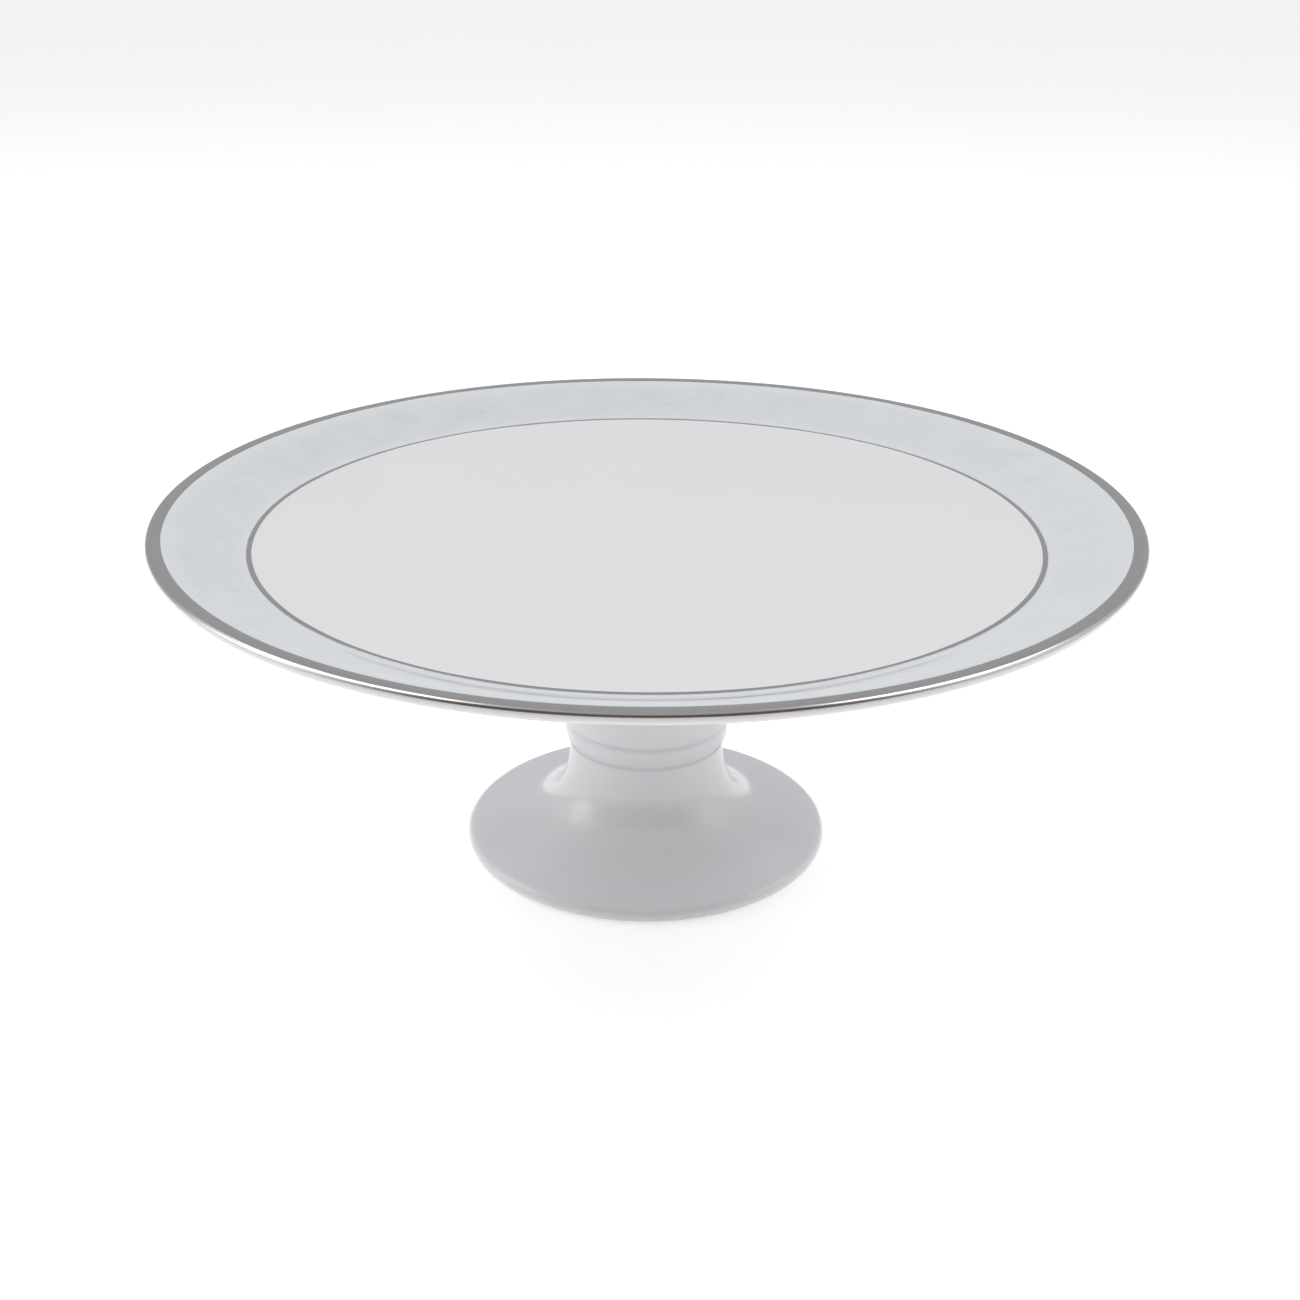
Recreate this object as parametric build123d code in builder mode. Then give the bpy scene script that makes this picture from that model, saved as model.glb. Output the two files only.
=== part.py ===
"""Footed cake stand in glazed porcelain with a tinted rim and painted metal lines.

The plate and the hollow pedestal are formed apart and joined with a ring of slip.
On the glaze lie three decor films: the rim's tinted transfer, the metal band that wraps
the lip, and the metal line at the foot of the rim.  Millimetres, +Z up, and the origin is
on the table at the middle of the foot.
"""
import os
from math import acos, cos, degrees, radians, sin, tan

from build123d import *

# ---- plate -------------------------------------------------------------------------
PLATE_D = 320.0            # over the lip
STAND_H = 123.15           # table to the crest of the lip
PLATE_T = 5.2              # plate wall, square to its surface
RIM_WIDTH = 31.7           # lip to the inner edge of the metal line, which lies on the level well
RIM_SLOPE = 22.0           # degrees above level
LIP_EDGE_R = 1.3           # upper outer edge of the lip
LIP_SHOULDER_R = 25.9      # crown between the rim's slope and the level crest
WELL_TURN_R = 9.0          # hollow turn from the well up into the rim

# ---- decor films -------------------------------------------------------------------
FILM_T = 0.4               # films lie flush in an equal step of the plate's face
LINE_WIDTH = 1.55          # metal line, measured up the rim
BAND_WIDTH = 4.9           # metal band, from the lip inwards

# ---- pedestal: foot and flare --------------------------------------------------------
FOOT_D = 126.0
FOOT_EDGE_R = 2.7          # rounded edge of the foot
FOOT_SLOPE = 10.5          # degrees above level, just inside that edge
FOOT_REACH = 12.7          # how far that slope carries inwards
RING_WIDTH = 4.4           # unglazed ring that stands on the table
RING_H = 2.0               # table to the edge of the hollow
RING_BATTER = 0.8          # lean of the ring's inner side
WAIST_D = 53.3             # narrowest part of the stem
WAIST_H = 36.5
WAIST_REACH = 29.0         # how far the upright waist carries downwards
WALL_T = 5.0               # cast wall

# ---- pedestal: bead and stem ---------------------------------------------------------
LOW_GROOVE_H = 37.7
LOW_GROOVE_D = 53.9        # across the groove's floor
TOP_GROOVE_H = 45.1
TOP_GROOVE_D = 55.2
BEAD_D = 56.1              # bead between the two grooves
GROOVE_R = 0.4             # softened floors of the grooves
COLLAR_D = 57.6            # stem just above the upper groove
COLLAR_RISE = 1.5          # upper groove to that place
COLLAR_LEAN = 4.0          # degrees off upright, where the stem leaves the collar
STEM_REACH = 20.0          # how far that lean carries upwards
STEM_TOP_D = 92.0          # where the stem meets the joint
STEM_TOP_SLOPE = 52.0      # degrees above level, at the joint
STEM_TOP_REACH = 20.0
STEM_LAND = 6.0            # flat ring on top of the stem

# ---- slip joint --------------------------------------------------------------------
JOINT_T = 0.8
JOINT_COVE = 2.0           # how far the wiped joint spreads on the plate
JOINT_SQUEEZE = 0.6        # slip pressed into the hollow


def polar(centre, radius, angle):
    """Point of a profile arc, with the angle in degrees from +X towards +Z."""
    return (centre[0] + radius * cos(radians(angle)), centre[1] + radius * sin(radians(angle)))


def arc(centre, radius, start, end):
    """Arc of a profile about a centre, from one angle to another in degrees."""
    return CenterArc(centre, radius, start, end - start)


# ---- plate profile, worked out from the sizes above ----------------------------------
plate_r = PLATE_D / 2
crest_r = plate_r - LIP_EDGE_R
edge_centre = (crest_r, STAND_H - LIP_EDGE_R)
edge_hold = LIP_EDGE_R * 0.5523   # handle that bends a Bezier curve into a quarter circle
shoulder_centre = (crest_r, STAND_H - LIP_SHOULDER_R)
rim_normal = 90 + RIM_SLOPE
rim_back = rim_normal - 180
rim_head = polar(shoulder_centre, LIP_SHOULDER_R, rim_normal)

line_in_r = plate_r - RIM_WIDTH
well_r = line_in_r + LINE_WIDTH
turn_out_r = well_r + WELL_TURN_R * sin(radians(RIM_SLOPE))
rim_foot = (turn_out_r, rim_head[1] - (rim_head[0] - turn_out_r) * tan(radians(RIM_SLOPE)))
turn_centre = polar(rim_foot, WELL_TURN_R, rim_normal)
well_z = turn_centre[1] - WELL_TURN_R
band_angle = degrees(acos((LIP_EDGE_R - BAND_WIDTH) / LIP_SHOULDER_R))
under_z = well_z - PLATE_T

# the round under the lip turns from upright to parallel with the rim, one wall below it
slope_sin = sin(radians(RIM_SLOPE))
slope_cos = cos(radians(RIM_SLOPE))
crest_over_rim = (plate_r - rim_head[0]) * slope_sin - (edge_centre[1] - rim_head[1]) * slope_cos
under_lip_r = (PLATE_T - crest_over_rim) / (1 - slope_sin)
under_lip_centre = (plate_r - under_lip_r, edge_centre[1])

# ---- pedestal profile ----------------------------------------------------------------
foot_centre = (FOOT_D / 2 - FOOT_EDGE_R, FOOT_EDGE_R)
foot_shoulder = polar(foot_centre, FOOT_EDGE_R, 90 - FOOT_SLOPE)
waist = (WAIST_D / 2, WAIST_H)
low_groove = (LOW_GROOVE_D / 2, LOW_GROOVE_H)
bead_crest = (BEAD_D / 2, (LOW_GROOVE_H + TOP_GROOVE_H) / 2)
top_groove = (TOP_GROOVE_D / 2, TOP_GROOVE_H)
collar = (COLLAR_D / 2, TOP_GROOVE_H + COLLAR_RISE)
stem_z = under_z - JOINT_T
stem_top = (STEM_TOP_D / 2, stem_z)
hollow_top = (stem_top[0] - STEM_LAND, stem_z)
hollow_waist = (waist[0] - WALL_T, WAIST_H)
ring_in = (foot_centre[0] - RING_WIDTH, 0)
hollow_foot = (ring_in[0] - RING_BATTER, RING_H)

# ---- plate ---------------------------------------------------------------------------
with BuildPart() as plate:
    with BuildSketch(Plane.XZ):
        with BuildLine():
            Line((0, under_z), (0, well_z))
            Polyline(
                (0, well_z),
                (line_in_r, well_z),
                (line_in_r, well_z - FILM_T),
                (well_r, well_z - FILM_T),
            )
            turn_bed = arc(turn_centre, WELL_TURN_R + FILM_T, -90, rim_back)
            film_bed = arc(shoulder_centre, LIP_SHOULDER_R - FILM_T, rim_normal, 90)
            Line(turn_bed @ 1, film_bed @ 0)
            arc(edge_centre, LIP_EDGE_R - FILM_T, 90, 0)
            Line((plate_r - FILM_T, edge_centre[1]), (plate_r, edge_centre[1]))
            under_lip = arc(under_lip_centre, under_lip_r, 0, rim_back)
            under_turn = arc(turn_centre, WELL_TURN_R + PLATE_T, rim_back, -90)
            Line(under_lip @ 1, under_turn @ 0)
            Line(under_turn @ 1, (0, under_z))
        make_face()
    revolve(axis=Axis.Z)
plate.part.label = "plate"

# ---- decor films ---------------------------------------------------------------------
with BuildPart() as well_line:
    with BuildSketch(Plane.XZ):
        with BuildLine():
            Polyline(
                (line_in_r, well_z),
                (well_r, well_z),
                (well_r, well_z - FILM_T),
                (line_in_r, well_z - FILM_T),
                close=True,
            )
        make_face()
    revolve(axis=Axis.Z)
well_line.part.label = "well_line"

with BuildPart() as rim_transfer:
    with BuildSketch(Plane.XZ):
        with BuildLine():
            turn_face = arc(turn_centre, WELL_TURN_R, -90, rim_back)
            turn_back = arc(turn_centre, WELL_TURN_R + FILM_T, -90, rim_back)
            transfer_face = arc(shoulder_centre, LIP_SHOULDER_R, rim_normal, band_angle)
            transfer_back = arc(shoulder_centre, LIP_SHOULDER_R - FILM_T, rim_normal, band_angle)
            Line(turn_face @ 1, transfer_face @ 0)
            Line(transfer_face @ 1, transfer_back @ 1)
            Line(transfer_back @ 0, turn_back @ 1)
            Line(turn_back @ 0, turn_face @ 0)
        make_face()
    revolve(axis=Axis.Z)
rim_transfer.part.label = "rim_transfer"

with BuildPart() as lip_band:
    with BuildSketch(Plane.XZ):
        with BuildLine():
            band_face = arc(shoulder_centre, LIP_SHOULDER_R, band_angle, 90)
            band_back = arc(shoulder_centre, LIP_SHOULDER_R - FILM_T, band_angle, 90)
            Bezier(
                (crest_r, STAND_H),
                (crest_r + edge_hold, STAND_H),
                (plate_r, edge_centre[1] + edge_hold),
                (plate_r, edge_centre[1]),
            )
            arc(edge_centre, LIP_EDGE_R - FILM_T, 90, 0)
            Line(band_face @ 0, band_back @ 0)
            Line((plate_r - FILM_T, edge_centre[1]), (plate_r, edge_centre[1]))
        make_face()
    revolve(axis=Axis.Z)
lip_band.part.label = "lip_band"

# ---- pedestal ------------------------------------------------------------------------
with BuildPart() as pedestal:
    with BuildSketch(Plane.XZ):
        with BuildLine():
            Line(ring_in, (foot_centre[0], 0))
            arc(foot_centre, FOOT_EDGE_R, -90, 90 - FOOT_SLOPE)
            Bezier(
                foot_shoulder,
                polar(foot_shoulder, FOOT_REACH, 180 - FOOT_SLOPE),
                (waist[0], WAIST_H - WAIST_REACH),
                waist,
            )
            TangentArc(waist, low_groove, tangent=(0, 1))
            ThreePointArc(low_groove, bead_crest, top_groove)
            Line(top_groove, collar)
            Bezier(
                collar,
                polar(collar, STEM_REACH, 90 - COLLAR_LEAN),
                polar(stem_top, STEM_TOP_REACH, 180 + STEM_TOP_SLOPE),
                stem_top,
            )
            Line(stem_top, hollow_top)
            Bezier(
                hollow_top,
                polar(hollow_top, STEM_TOP_REACH, 180 + STEM_TOP_SLOPE),
                (hollow_waist[0], WAIST_H + STEM_REACH + WALL_T),
                hollow_waist,
            )
            Bezier(
                hollow_waist,
                (hollow_waist[0], WAIST_H - WAIST_REACH - WALL_T / 2),
                polar(hollow_foot, FOOT_REACH + WALL_T / 2, 180 - FOOT_SLOPE),
                hollow_foot,
            )
            Line(hollow_foot, ring_in)
        make_face()
    revolve(axis=Axis.Z)
    grooves = pedestal.edges().filter_by(GeomType.CIRCLE).filter_by(
        lambda e: abs(e.arc_center.Z - LOW_GROOVE_H) < 0.01 or abs(e.arc_center.Z - TOP_GROOVE_H) < 0.01
    )
    fillet(grooves, GROOVE_R)
pedestal.part.label = "pedestal"

# ---- slip joint ----------------------------------------------------------------------
with BuildPart() as slip_joint:
    with BuildSketch(Plane.XZ):
        with BuildLine():
            Line(hollow_top, stem_top)
            TangentArc((stem_top[0] + JOINT_COVE, under_z), stem_top, tangent=(-1, 0))
            Polyline(
                (stem_top[0] + JOINT_COVE, under_z),
                (hollow_top[0] - JOINT_SQUEEZE, under_z),
                hollow_top,
            )
        make_face()
    revolve(axis=Axis.Z)
slip_joint.part.label = "slip_joint"

# ---- output --------------------------------------------------------------------------
os.makedirs("parts", exist_ok=True)
for piece in (plate, well_line, rim_transfer, lip_band, pedestal, slip_joint):
    export_step(piece.part, f"parts/{piece.part.label}.step")
    print(f"{piece.part.label}: {piece.part.volume / 1000:.2f} cm3")
print(f"well_z {well_z:.3f}  well_r {well_r:.3f}  under_z {under_z:.3f}  stem_z {stem_z:.3f}")
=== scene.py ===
from math import acos, asin, atan2, cos, pi, radians, sin, tan

import bmesh
import bpy
from bpy.props import FloatProperty, FloatVectorProperty, IntProperty, PointerProperty
from bpy.types import Operator, Panel, PropertyGroup
from mathutils import Euler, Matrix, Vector


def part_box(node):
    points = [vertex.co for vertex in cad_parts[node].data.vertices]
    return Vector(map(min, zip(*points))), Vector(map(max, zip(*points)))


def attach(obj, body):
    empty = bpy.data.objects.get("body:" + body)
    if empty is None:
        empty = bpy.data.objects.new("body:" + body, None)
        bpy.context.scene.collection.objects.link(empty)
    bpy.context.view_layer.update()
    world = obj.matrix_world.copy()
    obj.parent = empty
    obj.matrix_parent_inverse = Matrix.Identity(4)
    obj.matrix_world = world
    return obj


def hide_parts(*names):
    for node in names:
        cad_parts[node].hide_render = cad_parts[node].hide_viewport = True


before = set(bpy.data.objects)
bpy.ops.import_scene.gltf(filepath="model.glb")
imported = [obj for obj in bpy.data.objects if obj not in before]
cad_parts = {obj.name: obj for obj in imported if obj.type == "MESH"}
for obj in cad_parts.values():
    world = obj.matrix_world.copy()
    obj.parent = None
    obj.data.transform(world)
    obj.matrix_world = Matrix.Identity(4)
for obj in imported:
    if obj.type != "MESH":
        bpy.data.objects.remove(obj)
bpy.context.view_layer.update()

bl_info = {
    "name": "Footed Cake Stand",
    "version": (1, 0, 0),
    "blender": (4, 5, 0),
    "location": "View3D > Sidebar > Cake Stand",
    "description": "Builds a glazed porcelain cake stand with a tinted rim and painted metal lines",
    "category": "Add Mesh",
}

MM = 0.001
BODY = "root"

# Small features of the pedestal, which follow the plain part
COLLAR_RISE = 1.5 * MM
COLLAR_LEAN = radians(4)
STEM_REACH = 20 * MM
STEM_LAND = 6 * MM
RING_BATTER = 0.8 * MM
JOINT_SQUEEZE = 0.6 * MM
NECK_REACH = 0.4 * MM
NECK_LEAN = 0.1 * MM
FOOT_BREAK = 0.5 * MM
GROOVE_SOFTENING = 0.9 * MM
COLLAR_SOFTENING = 0.7 * MM
CORNER_STEPS = 6

# Fired films
FILM_TAPER = 0.12 * MM
TRANSFER_LAP = 0.1 * MM
TRANSFER_DROP = 0.02 * MM

# Studio, in metres and watts: name, place, side and power of each light
TABLE_RADIUS = 25.0
LIGHT_AIM = (0.0, 0.0, 0.1)
SOFTBOXES = (
    ("left_high", (-1.0, 0.1, 1.4), 0.9, 8.7),
    ("right_high", (1.0, 0.1, 1.4), 0.9, 8.7),
    ("left_low", (-1.3, -0.05, 0.42), 0.7, 1.6),
)
CAMERA_PLACE = (1.1 * MM, -532.2 * MM, 304.1 * MM)
CAMERA_AIM = (1.1 * MM, 0.0, 69.83 * MM)
CAMERA_ROLL = radians(0.377)
CAMERA_LENS = 47.08
CAMERA_SENSOR = 36.0


# ---- sizes and colours ---------------------------------------------------------------

def length(name, value, description):
    """A size in millimetres that a maker may change."""
    return FloatProperty(
        name=name, description=description, default=value * MM, min=0.0, subtype="DISTANCE", unit="LENGTH"
    )


def slope(name, value, description):
    """An angle in degrees that a maker may change."""
    return FloatProperty(name=name, description=description, default=radians(value), subtype="ANGLE")


def colour(name, value, description):
    """A surface colour that a maker may change."""
    return FloatVectorProperty(
        name=name, description=description, default=value, min=0.0, max=1.0, size=3, subtype="COLOR"
    )


class PlateSizes(PropertyGroup):
    """Sizes of the plate and of the films on its rim."""

    wall: length("Wall", 5.2, "Thickness of the plate, square to its surface")
    rim_width: length("Rim width", 31.7, "Lip to the inner edge of the metal line")
    rim_slope: slope("Rim slope", 22.0, "Slope of the rim above level")
    lip_edge: length("Lip edge", 1.3, "Radius of the lip's upper outer edge")
    lip_shoulder: length("Lip shoulder", 25.9, "Radius of the crown between the rim and the lip")
    well_turn: length("Well turn", 9.0, "Radius of the turn from the well into the rim")
    line_width: length("Line width", 1.55, "Width of the painted line at the foot of the rim")
    band_width: length("Band width", 4.9, "Width of the painted band on top of the lip")
    film: length("Film", 0.045, "Height of the fired films above the glaze")
    sink: length("Film bed", 0.06, "Depth of the films below the glaze's face")
    waver: length("Brush waver", 0.11, "Unsteadiness of the painted edges")
    warp: length("Kiln warp", 0.22, "Rise and fall of the lip after firing")


class PedestalSizes(PropertyGroup):
    """Sizes of the hollow pedestal and of the slip joint on top of it."""

    foot_edge: length("Foot edge", 2.7, "Radius of the foot's rounded edge")
    foot_slope: slope("Foot slope", 10.5, "Slope of the foot just inside its edge")
    foot_reach: length("Foot reach", 12.7, "How far the foot's slope carries inwards")
    ring_width: length("Ring width", 4.4, "Unglazed ring that stands on the table")
    ring_height: length("Ring height", 2.0, "Table to the edge of the hollow")
    waist: length("Waist", 53.3, "Diameter at the narrowest part of the stem")
    waist_height: length("Waist height", 36.5, "Table to the narrowest part of the stem")
    waist_reach: length("Waist reach", 29.0, "How far the upright waist carries downwards")
    wall: length("Wall", 5.0, "Thickness of the cast wall")
    low_groove: length("Lower groove", 37.7, "Table to the groove below the bead")
    top_groove: length("Upper groove", 45.1, "Table to the groove above the bead")
    low_groove_across: length("Lower groove floor", 53.9, "Diameter across the lower groove's floor")
    top_groove_across: length("Upper groove floor", 55.2, "Diameter across the upper groove's floor")
    bead: length("Bead", 56.1, "Diameter over the bead")
    collar: length("Collar", 57.6, "Diameter of the stem just above the upper groove")
    stem_top: length("Stem top", 92.0, "Diameter where the stem meets the joint")
    stem_slope: slope("Stem slope", 52.0, "Slope of the stem's head above level")
    cove: length("Joint cove", 2.0, "How far the wiped joint spreads on the plate")
    unround: length("Unroundness", 0.1, "Casting unevenness of the stem and foot")


class StandFinish(PropertyGroup):
    """Colours of the ware, and how finely the forms are turned."""

    porcelain: colour("Porcelain", (0.712, 0.719, 0.739), "Glazed porcelain")
    bisque: colour("Bisque", (0.70, 0.68, 0.64), "Unglazed ring under the foot")
    tint_pale: colour("Pale tint", (0.648, 0.687, 0.713), "Lightest part of the rim's transfer")
    tint_deep: colour("Deep tint", (0.545, 0.592, 0.624), "Darkest marks of the rim's transfer")
    metal: colour("Metal", (0.52, 0.512, 0.512), "Painted metal film")
    segments: IntProperty(
        name="Segments", description="Facets round the axis of each turned form", default=320, min=24
    )


# ---- profile drawing -----------------------------------------------------------------

def polar(centre, radius, angle):
    """Point of a profile at an angle from level, towards up."""
    return (centre[0] + radius * cos(angle), centre[1] + radius * sin(angle))


def arc(centre, radius, start, end, steps):
    """Points of a profile arc, both ends included."""
    return [polar(centre, radius, start + (end - start) * i / steps) for i in range(steps + 1)]


def straight(start, end, steps):
    """Points of a straight run, both ends included."""
    share = [i / steps for i in range(steps + 1)]
    return [(start[0] + (end[0] - start[0]) * t, start[1] + (end[1] - start[1]) * t) for t in share]


def bezier(a, b, c, d, steps):
    """Points of a cubic curve, both ends included."""
    run = []
    for i in range(steps + 1):
        t = i / steps
        weights = ((1 - t) ** 3, 3 * (1 - t) ** 2 * t, 3 * (1 - t) * t * t, t**3)
        run.append(tuple(sum(w * p[k] for w, p in zip(weights, (a, b, c, d))) for k in (0, 1)))
    return run


def softened(before, corner, after, reach):
    """Points that round a corner between two neighbours, starting a short reach away from it."""
    sides = []
    for other in (before, after):
        way = Vector(other) - Vector(corner)
        sides.append(Vector(corner) + way.normalized() * min(reach, way.length / 2))
    run = []
    for i in range(CORNER_STEPS + 1):
        t = i / CORNER_STEPS
        point = sides[0] * (1 - t) ** 2 + Vector(corner) * 2 * t * (1 - t) + sides[1] * t * t
        run.append(tuple(point))
    return run


def joined(*runs):
    """One profile from several runs, without repeated points."""
    points = []
    for run in runs:
        for point in run:
            if not points or (Vector(point) - Vector(points[-1])).length > 1e-7:
                points.append(tuple(point))
    return points


class PlateLayout:
    """Places on the plate's profile that the plate and its films share."""

    def __init__(self, size):
        low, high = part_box("plate")
        self.radius = round((high.x - low.x) / 2, 4)
        self.height = round(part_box("lip_band")[1].z, 5)
        crest = self.radius - size.lip_edge
        self.edge_centre = (crest, self.height - size.lip_edge)
        self.shoulder_centre = (crest, self.height - size.lip_shoulder)
        self.normal = pi / 2 + size.rim_slope
        self.back = self.normal - pi
        self.rim_head = polar(self.shoulder_centre, size.lip_shoulder, self.normal)
        line_in = self.radius - size.rim_width
        well_r = line_in + size.line_width
        turn_out = well_r + size.well_turn * sin(size.rim_slope)
        drop = (self.rim_head[0] - turn_out) * tan(size.rim_slope)
        self.rim_foot = (turn_out, self.rim_head[1] - drop)
        self.turn_centre = polar(self.rim_foot, size.well_turn, self.normal)
        self.well_edge = (well_r, self.turn_centre[1] - size.well_turn)
        self.line_in = (line_in, self.well_edge[1])
        self.band_angle = acos((size.lip_edge - size.band_width) / size.lip_shoulder)
        self.under = self.well_edge[1] - size.wall
        rise, run = sin(size.rim_slope), cos(size.rim_slope)
        crest_over_rim = (self.radius - self.rim_head[0]) * rise
        crest_over_rim -= (self.edge_centre[1] - self.rim_head[1]) * run
        self.under_lip = (size.wall - crest_over_rim) / (1 - rise)
        self.under_lip_centre = (self.radius - self.under_lip, self.edge_centre[1])


def plate_profile(size):
    """Profile of the plate, from the middle of the well over the lip to the middle below."""
    at = PlateLayout(size)
    return joined(
        straight((0, at.well_edge[1]), at.well_edge, 14),
        arc(at.turn_centre, size.well_turn, -pi / 2, at.back, 10),
        straight(at.rim_foot, at.rim_head, 14),
        arc(at.shoulder_centre, size.lip_shoulder, at.normal, pi / 2, 14),
        arc(at.edge_centre, size.lip_edge, pi / 2, 0, 10),
        arc(at.under_lip_centre, at.under_lip, 0, at.back, 12),
        arc(at.turn_centre, size.well_turn + size.wall, at.back, -pi / 2, 12),
        straight((at.well_edge[0], at.under), (0, at.under), 12),
    )


def film_profile(face, size, free):
    """Closed profile of a fired film over a run of the plate's face.

    Its ends taper to the glaze.  free says which ends of the run a brush may shift."""
    top, bed = [], []
    count = len(face) - 1
    for i, point in enumerate(face):
        before, after = face[max(i - 1, 0)], face[min(i + 1, count)]
        way = (Vector(after) - Vector(before)).normalized()
        normal = Vector((-way.y, way.x))
        top.append(tuple(Vector(point) + normal * size.film * (0.0 < i < count)))
        bed.append(tuple(Vector(point) - normal * size.sink))
    loose = [free[0] * (i < 2) + free[1] * (i > count - 2) for i in range(count + 1)]
    return top + bed[::-1] + top[:1], loose + loose[::-1] + loose[:1]


def with_tapers(face):
    """A run of the face with a point near each end, where a film reaches its full height."""
    ends = []
    for a, b in ((face[0], face[1]), (face[-1], face[-2])):
        way = (Vector(b) - Vector(a)).normalized()
        ends.append(tuple(Vector(a) + way * FILM_TAPER))
    return [face[0], ends[0], *face[1:-1], ends[1], face[-1]]


def line_film(size):
    """Painted line at the foot of the rim."""
    at = PlateLayout(size)
    return film_profile(with_tapers(straight(at.line_in, at.well_edge, 4)), size, (1, 1))


def transfer_film(size):
    """Tinted transfer between the line and the band, tucked a little under both."""
    at = PlateLayout(size)
    start = (at.well_edge[0] - TRANSFER_LAP, at.well_edge[1])
    end_angle = at.band_angle - TRANSFER_LAP / size.lip_shoulder
    face = joined(
        [start],
        arc(at.turn_centre, size.well_turn, -pi / 2, at.back, 8),
        straight(at.rim_foot, at.rim_head, 12),
        arc(at.shoulder_centre, size.lip_shoulder, at.normal, end_angle, 8),
    )
    top, loose = film_profile(with_tapers(face), size, (0, 0))
    return [(r, z - TRANSFER_DROP) for r, z in top], loose


def band_film(size):
    """Painted band from the shoulder over the edge of the lip."""
    at = PlateLayout(size)
    face = joined(
        arc(at.shoulder_centre, size.lip_shoulder, at.band_angle, pi / 2, 8),
        arc(at.edge_centre, size.lip_edge, pi / 2, 0, 10),
    )
    return film_profile(with_tapers(face), size, (1, 0))


def pedestal_profile(size):
    """Closed profile of the hollow pedestal, from the foot ring up the outside and back."""
    foot_r = round(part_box("pedestal")[1].x, 4)
    head = round(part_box("pedestal")[1].z, 5)
    foot_centre = (foot_r - size.foot_edge, size.foot_edge)
    shoulder = polar(foot_centre, size.foot_edge, pi / 2 - size.foot_slope)
    waist = (size.waist / 2, size.waist_height)
    low = (size.low_groove_across / 2, size.low_groove)
    high = (size.top_groove_across / 2, size.top_groove)
    bead_centre, bead_radius = circle_through(low, (size.bead / 2, (low[1] + high[1]) / 2), high)
    angles = [angle_at(bead_centre, p) for p in (low, high)]
    bead = arc(bead_centre, bead_radius, angles[0], angles[1], 16)
    collar = (size.collar / 2, high[1] + COLLAR_RISE)
    stem_top = (size.stem_top / 2, head)
    hollow_top = (stem_top[0] - STEM_LAND, head)
    hollow_waist = (waist[0] - size.wall, waist[1])
    ring_in = (foot_centre[0] - size.ring_width, 0)
    hollow_foot = (ring_in[0] - RING_BATTER, size.ring_height)
    neck_up = (waist[0], waist[1] + NECK_REACH)
    neck_in = (low[0] - NECK_LEAN, low[1] - NECK_REACH)
    neck = bezier(waist, neck_up, neck_in, low, 4)
    stem = bezier(
        collar,
        polar(collar, STEM_REACH, pi / 2 - COLLAR_LEAN),
        polar(stem_top, STEM_REACH, pi + size.stem_slope),
        stem_top,
        30,
    )
    return joined(
        softened(hollow_foot, ring_in, foot_centre, FOOT_BREAK),
        arc(foot_centre, size.foot_edge, -pi / 2, pi / 2 - size.foot_slope, 18),
        bezier(
            shoulder,
            polar(shoulder, size.foot_reach, pi - size.foot_slope),
            (waist[0], waist[1] - size.waist_reach),
            waist,
            44,
        ),
        neck[:-1],
        softened(neck[-2], low, bead[2], GROOVE_SOFTENING),
        bead[2:-2],
        softened(bead[-3], high, collar, GROOVE_SOFTENING),
        softened(high, collar, stem[1], COLLAR_SOFTENING),
        stem[1:],
        bezier(
            hollow_top,
            polar(hollow_top, STEM_REACH, pi + size.stem_slope),
            (hollow_waist[0], waist[1] + STEM_REACH + size.wall),
            hollow_waist,
            20,
        ),
        bezier(
            hollow_waist,
            (hollow_waist[0], waist[1] - size.waist_reach - size.wall / 2),
            polar(hollow_foot, size.foot_reach + size.wall / 2, pi - size.foot_slope),
            hollow_foot,
            26,
        ),
        softened(hollow_foot, ring_in, foot_centre, FOOT_BREAK)[:1],
    )


def circle_through(a, b, c):
    """Centre and radius of the circle through three profile points."""
    ab, ac = Vector(b) - Vector(a), Vector(c) - Vector(a)
    cross = 2 * (ab.x * ac.y - ab.y * ac.x)
    up = (ac.y * ab.length_squared - ab.y * ac.length_squared) / cross
    out = (ab.x * ac.length_squared - ac.x * ab.length_squared) / cross
    return (a[0] + up, a[1] + out), Vector((up, out)).length


def angle_at(centre, point):
    """Angle of a point about a centre, from level towards up."""
    return atan2(point[1] - centre[1], point[0] - centre[0])


def joint_profile(size):
    """Closed profile of the slip ring between the stem and the plate."""
    low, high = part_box("slip_joint")
    stem_r = size.stem_top / 2
    inner = stem_r - STEM_LAND
    fall = high.z - low.z
    radius = (size.cove**2 + fall**2) / (2 * fall)
    centre = (stem_r + size.cove, high.z - radius)
    cove = arc(centre, radius, pi / 2 + asin(size.cove / radius), pi / 2, 8)
    return joined(
        [(inner, low.z), (stem_r, low.z)],
        cove,
        [(inner - JOINT_SQUEEZE, high.z), (inner, low.z)],
    )


# ---- the lathe -----------------------------------------------------------------------

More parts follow.
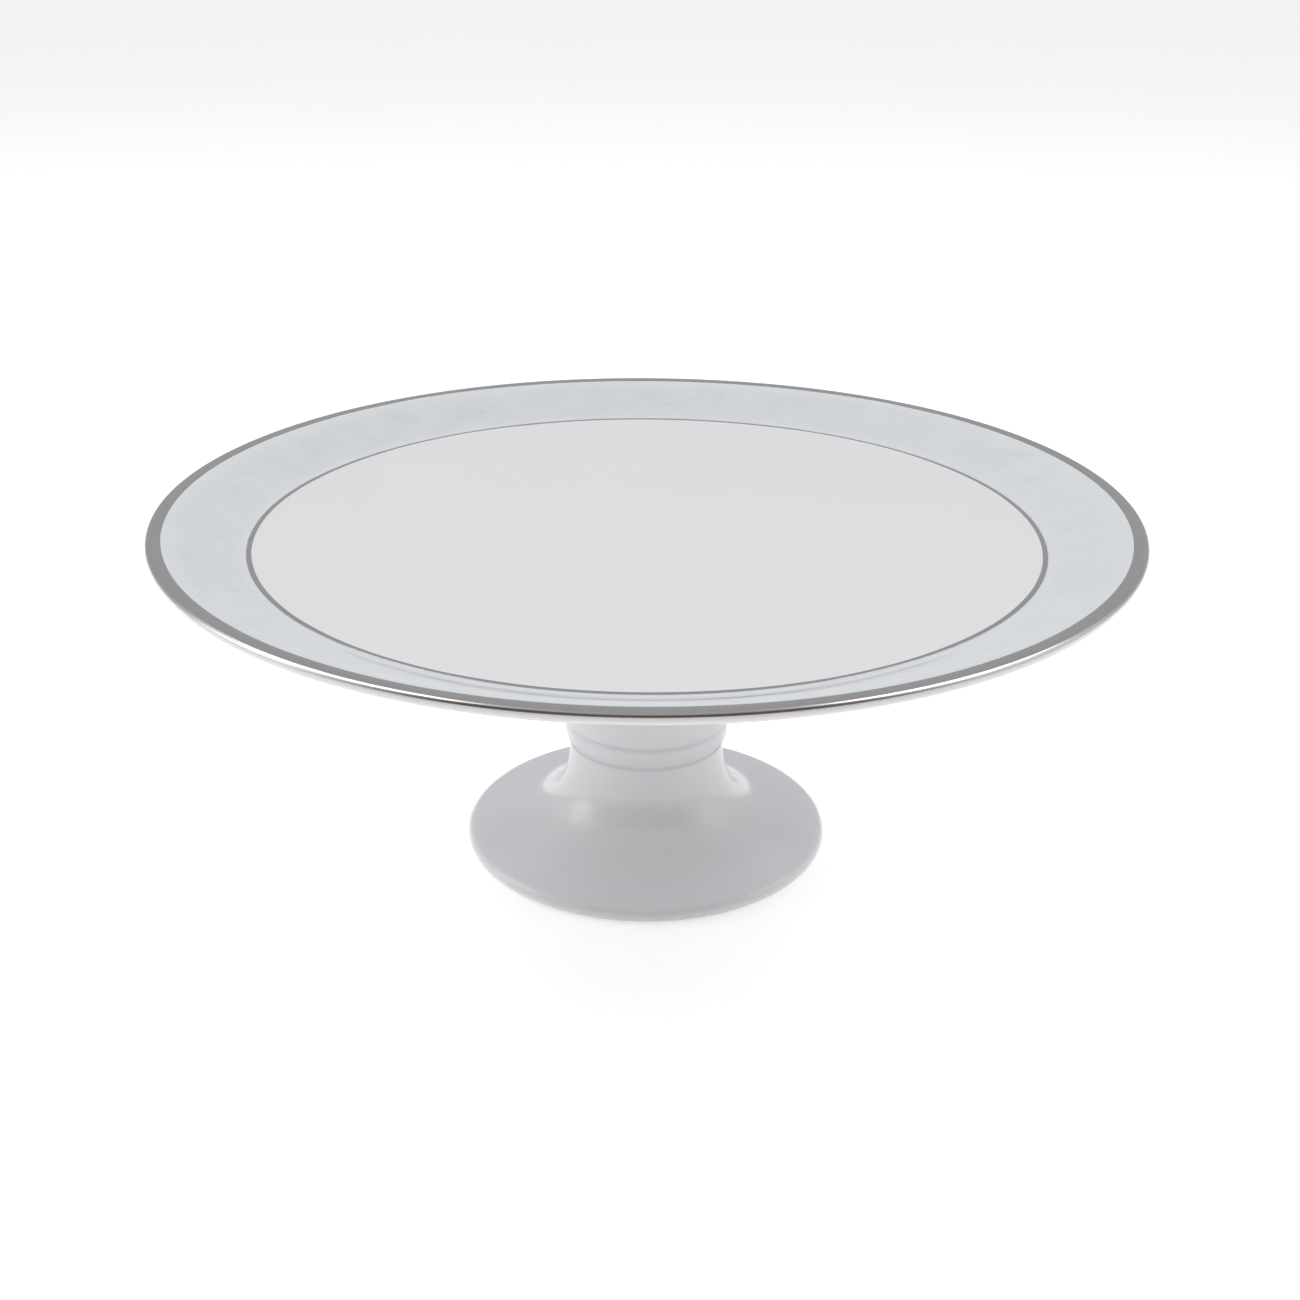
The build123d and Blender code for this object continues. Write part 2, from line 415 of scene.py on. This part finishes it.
class Bench:
    """A node tree being wired up."""

    def __init__(self, tree):
        self.tree = tree
        tree.nodes.clear()

    def add(self, kind, inputs=None, **settings):
        """A new node.  inputs maps a socket to a value, or to another node's output."""
        node = self.tree.nodes.new(kind)
        for name, value in settings.items():
            setattr(node, name, value)
        for key, value in (inputs or {}).items():
            if isinstance(value, bpy.types.NodeSocket):
                self.tree.links.new(value, node.inputs[key])
            else:
                node.inputs[key].default_value = value
        return node

    def maths(self, operation, *values):
        """Result of a sum on one, two or three numbers."""
        return self.add("ShaderNodeMath", dict(enumerate(values)), operation=operation).outputs[0]

    def vector(self, *values):
        """Three numbers as a vector."""
        return self.add("ShaderNodeCombineXYZ", dict(enumerate(values))).outputs[0]

    def split(self, vector):
        """A vector's three numbers."""
        return self.add("ShaderNodeSeparateXYZ", {0: vector}).outputs

    def noise(self, vector, scale, detail=0.0, roughness=0.5, distortion=0.0):
        """Cloudy noise between 0 and 1."""
        sockets = {"Vector": vector, "Scale": scale, "Detail": detail, "Roughness": roughness}
        node = self.add("ShaderNodeTexNoise", sockets | {"Distortion": distortion})
        return node.outputs[0]

    def spread(self, value, low, high, to_low=0.0, to_high=1.0):
        """A number carried smoothly from one range to another, held at its ends."""
        sockets = {0: value, 1: low, 2: high, 3: to_low, 4: to_high}
        return self.add("ShaderNodeMapRange", sockets, interpolation_type="SMOOTHSTEP").outputs[0]

    def blend(self, factor, a, b):
        """Colour between a and b."""
        return self.add("ShaderNodeMix", {0: factor, 6: a, 7: b}, data_type="RGBA").outputs[2]


LATHE_INPUTS = (
    ("Profile", "NodeSocketGeometry"),
    ("Segments", "NodeSocketInt"),
    ("Unroundness", "NodeSocketFloat"),
    ("Warp", "NodeSocketFloat"),
    ("Warp Radius", "NodeSocketFloat"),
    ("Waver", "NodeSocketFloat"),
    ("Waver Slope", "NodeSocketFloat"),
    ("Material", "NodeSocketMaterial"),
)


def lathe():
    """Node tree that turns a profile about the upright axis into a closed form.

    The profile is a row of points.  Its attribute "loose" says which of them a brush may shift."""
    tree = bpy.data.node_groups.get("Turned Form")
    if tree:
        return tree
    tree = bpy.data.node_groups.new("Turned Form", "GeometryNodeTree")
    bench = Bench(tree)
    for name, kind in LATHE_INPUTS:
        tree.interface.new_socket(name, in_out="INPUT", socket_type=kind)
    tree.interface.new_socket("Form", in_out="OUTPUT", socket_type="NodeSocketGeometry")
    given = bench.add("NodeGroupInput").outputs
    profile, segments = given["Profile"], given["Segments"]

    count = bench.add("GeometryNodeAttributeDomainSize", {0: profile}, component="MESH").outputs[0]
    columns = bench.maths("ADD", segments, 1)
    grid = bench.add("GeometryNodeMeshGrid", {"Vertices X": columns, "Vertices Y": count})
    index = bench.add("GeometryNodeInputIndex").outputs[0]
    column = bench.maths("FLOOR", bench.maths("DIVIDE", bench.maths("ADD", index, 0.5), count))
    row = bench.maths("SUBTRACT", index, bench.maths("MULTIPLY", column, count))
    place = bench.add("GeometryNodeInputPosition").outputs[0]
    drawn = {"Geometry": profile, "Value": place, "Index": row}
    drawn = bench.add("GeometryNodeSampleIndex", drawn, data_type="FLOAT_VECTOR").outputs[0]
    radius, _, height = bench.split(drawn)
    loose = bench.add("GeometryNodeInputNamedAttribute", {"Name": "loose"}, data_type="FLOAT").outputs[0]
    loose = bench.add("GeometryNodeSampleIndex", {"Geometry": profile, "Value": loose, "Index": row})

    turn = bench.maths("MULTIPLY", bench.maths("DIVIDE", column, segments), 2 * pi)
    across, along = bench.maths("COSINE", turn), bench.maths("SINE", turn)

    def unsteady(level, scale, amount):
        """Noise of an amount, that closes on itself after a full turn."""
        value = bench.noise(bench.vector(across, along, level), scale)
        return bench.maths("MULTIPLY", bench.maths("MULTIPLY_ADD", value, 2, -1), amount)

    unround = unsteady(bench.maths("MULTIPLY", height, 9), 1.3, given["Unroundness"])
    share = bench.maths("POWER", bench.maths("DIVIDE", radius, given["Warp Radius"]), 2)
    warp = unsteady(3.7, 0.8, bench.maths("MULTIPLY", given["Warp"], share))
    waver = unsteady(bench.maths("MULTIPLY", radius, 60), 7, given["Waver"])
    waver = bench.maths("MULTIPLY", waver, loose.outputs[0])
    slope = given["Waver Slope"]
    radius = bench.maths("ADD", radius, unround)
    radius = bench.maths("MULTIPLY_ADD", waver, bench.maths("COSINE", slope), radius)
    height = bench.maths("ADD", height, warp)
    height = bench.maths("MULTIPLY_ADD", waver, bench.maths("SINE", slope), height)
    x, y = bench.maths("MULTIPLY", radius, across), bench.maths("MULTIPLY", radius, along)
    spot = bench.vector(x, y, height)

    form = bench.add("GeometryNodeSetPosition", {"Geometry": grid.outputs[0], "Position": spot}).outputs[0]
    form = bench.add("GeometryNodeMergeByDistance", {"Geometry": form, "Distance": 1e-6}).outputs[0]
    form = bench.add("GeometryNodeSetShadeSmooth", {"Geometry": form}).outputs[0]
    form = bench.add("GeometryNodeRealizeInstances", {"Geometry": form}).outputs[0]
    form = bench.add("GeometryNodeSetMaterial", {"Geometry": form, "Material": given["Material"]}).outputs[0]
    bench.add("NodeGroupOutput", {"Form": form})
    return tree


def turned(name, profile, material, loose=None, **amounts):
    """A plain mesh piece turned from a profile of radius and height, facing outwards."""
    mesh = bpy.data.meshes.new(name)
    mesh.from_pydata([(r, 0.0, z) for r, z in profile], [], [])
    weights = mesh.attributes.new("loose", "FLOAT", "POINT")
    weights.data.foreach_set("value", loose or [0.0] * len(profile))
    piece = bpy.data.objects.new(name, mesh)
    bpy.context.scene.collection.objects.link(piece)
    tree = lathe()
    turning = piece.modifiers.new("Turned Form", "NODES")
    turning.node_group = tree
    finish = bpy.context.scene.cake_stand_finish
    amounts = {"Segments": finish.segments, "Warp Radius": 1.0, "Material": material} | amounts
    for socket in tree.interface.items_tree:
        if socket.in_out == "INPUT" and socket.name in amounts:
            turning[socket.identifier] = amounts[socket.name]

    graph = bpy.context.evaluated_depsgraph_get()
    form = bpy.data.meshes.new_from_object(piece.evaluated_get(graph), depsgraph=graph)
    piece.modifiers.remove(turning)
    piece.data = form
    form.name = name
    bpy.data.meshes.remove(mesh)
    skin = bmesh.new()
    skin.from_mesh(form)
    if not skin.faces or any(not edge.is_manifold for edge in skin.edges):
        raise RuntimeError(f"{name} isn't a closed form")
    bmesh.ops.recalc_face_normals(skin, faces=skin.faces)
    if skin.calc_volume(signed=True) < 0:
        bmesh.ops.reverse_faces(skin, faces=skin.faces)
    skin.to_mesh(form)
    skin.free()
    return piece


# ---- finishes ------------------------------------------------------------------------

def new_material(name):
    """A material with an empty bench, its surface shader and the place of each point."""
    material = bpy.data.materials.new(name)
    material.use_nodes = True
    bench = Bench(material.node_tree)
    shader = bench.add("ShaderNodeBsdfPrincipled")
    bench.add("ShaderNodeOutputMaterial", {"Surface": shader.outputs[0]})
    place = bench.add("ShaderNodeTexCoord").outputs["Object"]
    return material, bench, shader, place


def feed(bench, shader, **inputs):
    """Links or sets inputs of the surface shader."""
    for name, value in inputs.items():
        socket = shader.inputs[name.replace("_", " ")]
        if isinstance(value, bpy.types.NodeSocket):
            bench.tree.links.new(value, socket)
        else:
            socket.default_value = value


def relief(bench, *layers):
    """Bump from layers of height and depth, the depth being in metres."""
    normal = None
    for height, depth in layers:
        inputs = {"Height": height, "Distance": depth, "Strength": 1.0}
        if normal:
            inputs["Normal"] = normal
        normal = bench.add("ShaderNodeBump", inputs).outputs[0]
    return normal


def from_axis(bench, place):
    """Distance of each point from the upright axis, and its three places."""
    x, y, z = bench.split(place)
    flat = bench.add("ShaderNodeVectorMath", {0: bench.vector(x, y, 0.0)}, operation="LENGTH")
    return flat.outputs[1], x, y, z


def rgba(value, level=1.0):
    """A colour property as a socket value."""
    return (value[0] * level, value[1] * level, value[2] * level, 1.0)


def glazed_porcelain(finish, sizes):
    """Clear glaze over white porcelain: it pools in the grooves, which are painted darker there, partly as
    glaze pooling and partly as painted shade, and stops short of the foot ring.
    """
    material, bench, shader, place = new_material("glazed_porcelain")
    radius, _, _, height = from_axis(bench, place)
    clouds = bench.noise(place, 24, 3, 0.55)
    grain = bench.noise(place, 420, 2, 0.6)
    body = bench.blend(clouds, rgba(finish.porcelain, 0.985), rgba(finish.porcelain, 1.015))
    body = bench.blend(bench.spread(grain, 0.3, 0.75, 0.0, 0.35), body, rgba(finish.porcelain, 0.965))

    # Darker glaze in the two grooves: partly real glaze pooling, partly painted shade where the grooves fall
    # in shadow.
    pool_and_shade = None
    for groove in (sizes.low_groove, sizes.top_groove):
        off = bench.maths("ABSOLUTE", bench.maths("SUBTRACT", height, groove))
        mark = bench.spread(off, 0.15 * MM, 1.3 * MM, 1.0, 0.0)
        pool_and_shade = bench.maths("MAXIMUM", pool_and_shade, mark) if pool_and_shade else mark
    near = bench.spread(radius, 29.5 * MM, 31 * MM, 1.0, 0.0)
    pool_and_shade = bench.maths("MULTIPLY", bench.maths("MULTIPLY", pool_and_shade, near), 0.55)
    glaze = bench.blend(pool_and_shade, body, rgba((0.56, 0.59, 0.62)))

    edge = bench.noise(place, 160, 3, 0.6)
    line = bench.maths("MULTIPLY_ADD", edge, 0.5 * MM, 0.3 * MM)
    bare = bench.spread(bench.maths("SUBTRACT", height, line), -0.1 * MM, 0.1 * MM, 1.0, 0.0)
    grit = bench.noise(place, 1500, 2, 0.7)
    raw = bench.blend(grit, rgba(finish.bisque, 0.9), rgba(finish.bisque, 1.06))
    gloss = bench.spread(bench.noise(place, 55, 4, 0.6), 0.25, 0.75, 0.045, 0.085)
    rough = bench.maths("ADD", gloss, bench.maths("MULTIPLY", bare, 0.62))

    swell = bench.noise(place, 32, 1, 0.4)
    peel = bench.noise(place, 210, 2, 0.5)
    pores = bench.maths("MULTIPLY", bare, grit)
    normal = relief(bench, (swell, 0.02 * MM), (peel, 0.0022 * MM), (pores, 0.06 * MM))
    feed(bench, shader, Base_Color=bench.blend(bare, glaze, raw), Roughness=rough, IOR=1.52, Normal=normal)
    return material


def fired_slip(finish):
    """Joining slip, wiped round with a wet sponge and glazed over."""
    material, bench, shader, place = new_material("fired_slip_glaze")
    clouds = bench.noise(place, 90, 3, 0.6)
    wiped = bench.noise(bench.add("ShaderNodeMapping", {0: place, 3: (60, 60, 900)}).outputs[0], 1, 3, 0.6)
    body = bench.blend(clouds, rgba(finish.porcelain, 0.93), rgba(finish.porcelain, 1.0))
    gloss = bench.spread(clouds, 0.25, 0.75, 0.07, 0.14)
    normal = relief(bench, (clouds, 0.05 * MM), (wiped, 0.02 * MM))
    feed(bench, shader, Base_Color=body, Roughness=gloss, IOR=1.52, Normal=normal)
    return material


def tinted_transfer(finish, sizes):
    """Ice-blue transfer under the glaze, clouded and hatched with fine veins."""
    material, bench, shader, place = new_material("ice_blue_transfer")
    at = PlateLayout(sizes)
    radius, _, _, _ = from_axis(bench, place)
    inner, outer = at.well_edge[0], polar(at.shoulder_centre, sizes.lip_shoulder, at.band_angle)[0]
    width = outer - inner
    rise = bench.spread(radius, inner, inner + 0.42 * width, 0.0, 1.0)
    fall = bench.spread(radius, inner + 0.62 * width, outer, 1.0, 0.25)
    density = bench.maths("MULTIPLY", rise, fall)

    veins = None
    for turn, long_side, short_side, low in ((4, 150, 900, 0.56), (94, 140, 860, 0.56), (38, 170, 980, 0.6)):
        laid = {0: place, 2: (0, 0, radians(turn)), 3: (long_side, short_side, 200)}
        laid = bench.add("ShaderNodeMapping", laid, vector_type="POINT").outputs[0]
        stroke = bench.spread(bench.noise(laid, 1, 2, 0.55, 0.4), low, low + 0.12)
        veins = bench.maths("MAXIMUM", veins, stroke) if veins else stroke
    patches = bench.spread(bench.noise(place, 75, 2, 0.5), 0.4, 0.66)
    veins = bench.maths("MULTIPLY", veins, patches)
    clouds = bench.spread(bench.noise(place, 85, 4, 0.6), 0.3, 0.72)
    speckle = bench.noise(place, 900, 2, 0.7)
    mark = bench.maths("MULTIPLY_ADD", clouds, 0.34, bench.maths("MULTIPLY", veins, 0.5))
    mark = bench.maths("MULTIPLY_ADD", speckle, 0.1, mark)
    mark = bench.maths("MULTIPLY", mark, bench.maths("MULTIPLY_ADD", density, 0.75, 0.25))
    tint = bench.blend(mark, rgba(finish.tint_pale), rgba(finish.tint_deep))

    gloss = bench.spread(bench.noise(place, 60, 3, 0.6), 0.25, 0.75, 0.06, 0.12)
    swell = bench.noise(place, 40, 1, 0.4)
    peel = bench.noise(place, 260, 2, 0.5)
    normal = relief(bench, (swell, 0.012 * MM), (peel, 0.002 * MM))
    feed(bench, shader, Base_Color=tint, Roughness=gloss, IOR=1.52, Normal=normal)
    return material


def metal_lustre(finish):
    """Metal lustre brushed on by hand while the plate turns, then fired and burnished."""
    material, bench, shader, place = new_material("brushed_metal_lustre")
    radius, x, y, height = from_axis(bench, place)
    across, along = bench.maths("DIVIDE", x, radius), bench.maths("DIVIDE", y, radius)
    depth = bench.maths("SUBTRACT", radius, height)
    streaks = bench.vector(
        bench.maths("MULTIPLY", across, 5),
        bench.maths("MULTIPLY", along, 5),
        bench.maths("MULTIPLY", depth, 2600),
    )
    streaks = bench.noise(streaks, 1, 4, 0.6)
    loads = bench.noise(bench.vector(across, along, bench.maths("MULTIPLY", depth, 30)), 4, 2, 0.5)
    shine = bench.blend(streaks, rgba(finish.metal, 0.88), rgba(finish.metal, 1.1))
    shine = bench.blend(bench.spread(loads, 0.3, 0.7, 0.0, 0.4), shine, rgba(finish.metal, 0.9))
    gloss = bench.spread(streaks, 0.25, 0.75, 0.15, 0.26)
    pits = bench.noise(place, 1400, 2, 0.6)
    normal = relief(bench, (streaks, 0.004 * MM), (pits, 0.0015 * MM))
    feed(bench, shader, Base_Color=shine, Metallic=1.0, Roughness=gloss, Normal=normal)
    return material


def table_white():
    """Matt white table that glows a little, so that it stays pale under the stand."""
    material, bench, shader, place = new_material("white_table")
    clouds = bench.noise(place, 3, 3, 0.5)
    body = bench.blend(clouds, (0.86, 0.86, 0.86, 1), (0.9, 0.9, 0.9, 1))
    feed(bench, shader, Base_Color=body, Roughness=0.6, Specular_IOR_Level=0.1)
    feed(bench, shader, Emission_Color=(1.0, 1.0, 1.0, 1), Emission_Strength=0.375)
    return material


def finished(name, build, *given):
    """A finish by name, made the first time it is wanted."""
    return bpy.data.materials.get(name) or build(*given)


# ---- operators -----------------------------------------------------------------------

def settle(piece, node):
    """Seats a finished piece on the stand in place of its plain node."""
    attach(piece, BODY)
    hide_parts(node)


class CAKESTAND_OT_plate(Operator):
    """Turn the plate, with its well, sloping rim and rounded lip"""

    bl_idname = "cake_stand.plate"
    bl_label = "Plate"
    bl_options = {"REGISTER", "UNDO"}

    def execute(self, context):
        plate = context.scene.cake_stand_plate
        pedestal = context.scene.cake_stand_pedestal
        finish = context.scene.cake_stand_finish
        glaze = finished("glazed_porcelain", glazed_porcelain, finish, pedestal)
        warp = {"Warp": plate.warp, "Warp Radius": PlateLayout(plate).radius}
        piece = turned("cake_plate", plate_profile(plate), glaze, **warp)
        settle(piece, "plate")
        return {"FINISHED"}


class CAKESTAND_OT_pedestal(Operator):
    """Turn the hollow pedestal, with its flared foot, two grooves and bead"""

    bl_idname = "cake_stand.pedestal"
    bl_label = "Pedestal"
    bl_options = {"REGISTER", "UNDO"}

    def execute(self, context):
        pedestal = context.scene.cake_stand_pedestal
        finish = context.scene.cake_stand_finish
        glaze = finished("glazed_porcelain", glazed_porcelain, finish, pedestal)
        piece = turned("footed_pedestal", pedestal_profile(pedestal), glaze, Unroundness=pedestal.unround)
        settle(piece, "pedestal")
        return {"FINISHED"}


class CAKESTAND_OT_joint(Operator):
    """Lay the ring of slip that joins the pedestal to the plate"""

    bl_idname = "cake_stand.joint"
    bl_label = "Slip Joint"
    bl_options = {"REGISTER", "UNDO"}

    def execute(self, context):
        pedestal = context.scene.cake_stand_pedestal
        finish = context.scene.cake_stand_finish
        slip = finished("fired_slip_glaze", fired_slip, finish)
        piece = turned("joining_slip_ring", joint_profile(pedestal), slip, Unroundness=pedestal.unround / 2)
        settle(piece, "slip_joint")
        return {"FINISHED"}


class CAKESTAND_OT_transfer(Operator):
    """Lay the tinted transfer on the rim"""

    bl_idname = "cake_stand.transfer"
    bl_label = "Rim Transfer"
    bl_options = {"REGISTER", "UNDO"}

    def execute(self, context):
        plate = context.scene.cake_stand_plate
        finish = context.scene.cake_stand_finish
        film, loose = transfer_film(plate)
        tint = finished("ice_blue_transfer", tinted_transfer, finish, plate)
        settle(film_piece("rim_transfer_film", film, loose, tint, plate), "rim_transfer")
        return {"FINISHED"}


class CAKESTAND_OT_metal(Operator):
    """Paint the metal line at the foot of the rim and the band over the lip"""

    bl_idname = "cake_stand.metal"
    bl_label = "Metal Lines"
    bl_options = {"REGISTER", "UNDO"}

    def execute(self, context):
        plate = context.scene.cake_stand_plate
        finish = context.scene.cake_stand_finish
        lustre = finished("brushed_metal_lustre", metal_lustre, finish)
        crown = PlateLayout(plate).band_angle - pi / 2
        for name, node, draw, lean in (
            ("well_line_film", "well_line", line_film, 0.0),
            ("lip_band_film", "lip_band", band_film, crown),
        ):
            film, loose = draw(plate)
            settle(film_piece(name, film, loose, lustre, plate, lean), node)
        return {"FINISHED"}


def film_piece(name, film, loose, material, plate, lean=0.0):
    """A fired film that follows the plate's warp."""
    amounts = {
        "Warp": plate.warp,
        "Warp Radius": PlateLayout(plate).radius,
        "Waver": plate.waver,
        "Waver Slope": lean,
    }
    return turned(name, film, material, loose=loose, **amounts)


def softbox(name, place, side, power):
    """A square soft studio light that points at the stand."""
    data = bpy.data.lights.new(name, "AREA")
    data.shape = "SQUARE"
    data.size = side
    data.energy = power
    light = bpy.data.objects.new(name, data)
    light.location = place
    light.rotation_euler = (Vector(LIGHT_AIM) - Vector(place)).to_track_quat("-Z", "Y").to_euler()
    light.visible_camera = False
    bpy.context.scene.collection.objects.link(light)


def room():
    """Plain room: a grey band low down, then bright at the sides, grey behind and dark in front."""
    world = bpy.data.worlds.new("studio_room")
    world.use_nodes = True
    bench = Bench(world.node_tree)
    across, depth, up = bench.split(bench.add("ShaderNodeTexCoord").outputs["Generated"])
    reach = bench.add("ShaderNodeVectorMath", {0: bench.vector(across, depth, 0.0)}, operation="LENGTH")
    depth = bench.maths("DIVIDE", depth, bench.maths("MAXIMUM", reach.outputs[1], 0.001))
    walls = bench.blend(bench.spread(depth, 0.0, 0.8), (1.3, 1.3, 1.31, 1), (0.53, 0.53, 0.54, 1))
    walls = bench.blend(bench.spread(depth, 0.0, -0.8), walls, (0.16, 0.125, 0.11, 1))
    walls = bench.blend(bench.spread(up, 0.75, 0.95), walls, (0.6, 0.56, 0.54, 1))
    walls = bench.blend(bench.spread(up, 0.05, 0.16), (0.66, 0.66, 0.66, 1), walls)
    glow = bench.add("ShaderNodeBackground", {"Color": walls, "Strength": 1.0})
    bench.add("ShaderNodeOutputWorld", {"Surface": glow.outputs[0]})
    return world


class CAKESTAND_OT_stage(Operator):
    """Set the table, the studio lights and the camera"""

    bl_idname = "cake_stand.stage"
    bl_label = "Stage"
    bl_options = {"REGISTER", "UNDO"}

    def execute(self, context):
        scene = context.scene
        mesh = bpy.data.meshes.new("table_top")
        top = bmesh.new()
        bmesh.ops.create_circle(top, cap_ends=True, segments=96, radius=TABLE_RADIUS)
        top.to_mesh(mesh)
        top.free()
        table = bpy.data.objects.new("table_top", mesh)
        mesh.materials.append(table_white())
        scene.collection.objects.link(table)
        scene.world = room()
        for name, place, side, power in SOFTBOXES:
            softbox(name, place, side, power)

        data = bpy.data.cameras.new("camera")
        data.lens = CAMERA_LENS
        data.sensor_width = CAMERA_SENSOR
        data.clip_start = 0.01
        data.clip_end = 100.0
        camera = bpy.data.objects.new("camera", data)
        camera.location = CAMERA_PLACE
        aim = Vector(CAMERA_AIM) - camera.location
        level = aim.to_track_quat("-Z", "Y")
        camera.rotation_euler = (level @ Euler((0, 0, CAMERA_ROLL)).to_quaternion()).to_euler()
        scene.collection.objects.link(camera)
        scene.camera = camera
        scene.view_settings.view_transform = "Standard"
        scene.view_settings.look = "None"
        return {"FINISHED"}


PIECES = (
    CAKESTAND_OT_plate,
    CAKESTAND_OT_pedestal,
    CAKESTAND_OT_joint,
    CAKESTAND_OT_transfer,
    CAKESTAND_OT_metal,
    CAKESTAND_OT_stage,
)


class CAKESTAND_PT_build(Panel):
    """Sizes, colours and building steps of the cake stand"""

    bl_idname = "CAKESTAND_PT_build"
    bl_label = "Cake Stand"
    bl_space_type = "VIEW_3D"
    bl_region_type = "UI"
    bl_category = "Cake Stand"

    def draw(self, context):
        layout = self.layout
        for group in (
            context.scene.cake_stand_plate,
            context.scene.cake_stand_pedestal,
            context.scene.cake_stand_finish,
        ):
            box = layout.box()
            for name in group.bl_rna.properties.keys():
                if name not in ("rna_type", "name"):
                    box.prop(group, name)
        for piece in PIECES:
            layout.operator(piece.bl_idname)


GROUPS = {
    "cake_stand_plate": PlateSizes,
    "cake_stand_pedestal": PedestalSizes,
    "cake_stand_finish": StandFinish,
}


def register():
    for name, group in GROUPS.items():
        bpy.utils.register_class(group)
        setattr(bpy.types.Scene, name, PointerProperty(type=group))
    for piece in PIECES:
        bpy.utils.register_class(piece)
    bpy.utils.register_class(CAKESTAND_PT_build)


def unregister():
    bpy.utils.unregister_class(CAKESTAND_PT_build)
    for piece in reversed(PIECES):
        bpy.utils.unregister_class(piece)
    for name, group in reversed(GROUPS.items()):
        delattr(bpy.types.Scene, name)
        bpy.utils.unregister_class(group)


def main():
    """Builds the stand and its stage."""
    register()
    bpy.ops.cake_stand.plate()
    bpy.ops.cake_stand.pedestal()
    bpy.ops.cake_stand.joint()
    bpy.ops.cake_stand.transfer()
    bpy.ops.cake_stand.metal()
    bpy.ops.cake_stand.stage()


if __name__ == "__main__":
    main()
